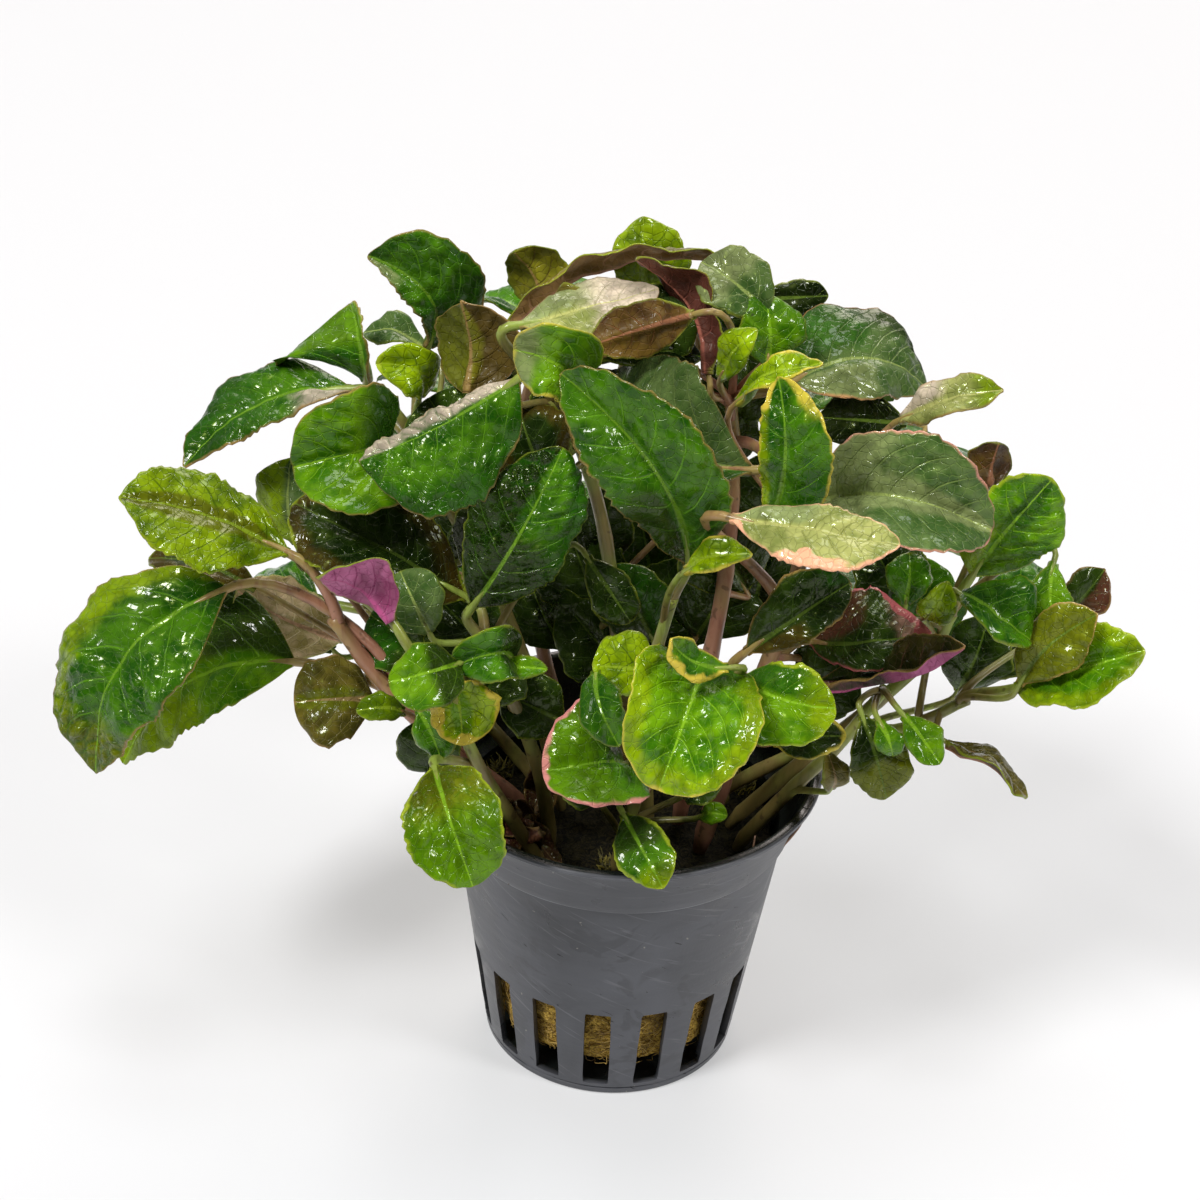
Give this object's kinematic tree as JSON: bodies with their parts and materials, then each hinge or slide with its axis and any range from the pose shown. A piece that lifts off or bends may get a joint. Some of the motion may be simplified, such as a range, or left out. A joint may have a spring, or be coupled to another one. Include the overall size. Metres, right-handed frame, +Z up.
{
  "type": "potted mini cardinal flower",
  "caption": "Small round-leaved stem plant for aquariums, bushing out of a slotted tapered net pot that holds a wet mineral wool plug.",
  "frame": {"origin": "centre of the pot's underside, on the face it stands on", "axes": "+Z up along the pot's axis; -Y towards the side the picture shows; +X to the right of that view, the bush's longest way"},
  "size_m": [0.1379, 0.0832, 0.116],
  "materials": {
    "pot_plastic": "satin",
    "wool": "matte",
    "stem_skin": "satin",
    "leaf_deep": "gloss",
    "leaf_bright": "gloss",
    "leaf_lime": "gloss",
    "leaf_grey": "satin",
    "leaf_dark": "satin",
    "leaf_brown": "satin",
    "leaf_wine": "satin"
  },
  "bodies": {
    "root": {"pot": "pot_plastic", "wool_plug": "wool", "shoot_left_low": "stem_skin", "shoot_left_rear": "stem_skin", "shoot_left_high": "stem_skin", "shoot_left_mid": "stem_skin", "shoot_front_left": "stem_skin", "shoot_top": "stem_skin", "shoot_centre": "stem_skin", "shoot_front": "stem_skin", "shoot_right_mid": "stem_skin", "shoot_right": "stem_skin", "shoot_right_low": "stem_skin", "shoot_far_right": "stem_skin", "shoot_right_out": "stem_skin", "shoot_back_left": "stem_skin", "shoot_back_right": "stem_skin", "shoot_back": "stem_skin", "leaf_left_long": "leaf_deep", "leaf_left_peak": "leaf_deep", "leaf_left_lime": "leaf_lime", "leaf_left_big": "leaf_deep", "leaf_left_under": "leaf_bright", "leaf_left_rear": "leaf_deep", "leaf_mid_green": "leaf_bright", "leaf_mid_curl": "leaf_deep", "leaf_top_left": "leaf_deep", "leaf_mid_light": "leaf_bright", "leaf_arch_long": "leaf_brown", "leaf_top_upright": "leaf_lime", "leaf_top_glare": "leaf_grey", "leaf_top_right": "leaf_grey", "leaf_centre_big": "leaf_deep", "leaf_centre_back": "leaf_grey", "leaf_centre_dark": "leaf_deep", "leaf_shade_left": "leaf_dark", "leaf_magenta": "leaf_wine", "leaf_rim_left": "leaf_bright", "leaf_front_big": "leaf_bright", "leaf_front_pink": "leaf_deep", "leaf_right_round": "leaf_bright", "leaf_right_dark": "leaf_dark", "leaf_right_pink_rim": "leaf_dark", "leaf_right_wine": "leaf_wine", "leaf_right_orange": "leaf_grey", "leaf_right_upright": "leaf_bright", "leaf_right_grey": "leaf_grey", "leaf_far_round": "leaf_bright", "leaf_far_end": "leaf_bright", "leaf_back_top_left": "leaf_deep", "leaf_back_top_mid": "leaf_deep", "leaf_back_top_right": "leaf_deep", "leaf_back_left_high": "leaf_deep", "leaf_back_mid_left": "leaf_deep", "leaf_back_mid_right": "leaf_deep", "leaf_back_right_high": "leaf_deep", "leaf_back_left_low": "leaf_deep", "leaf_back_mid_low": "leaf_deep", "leaf_back_right_low": "leaf_deep"}
  },
  "joints": []
}
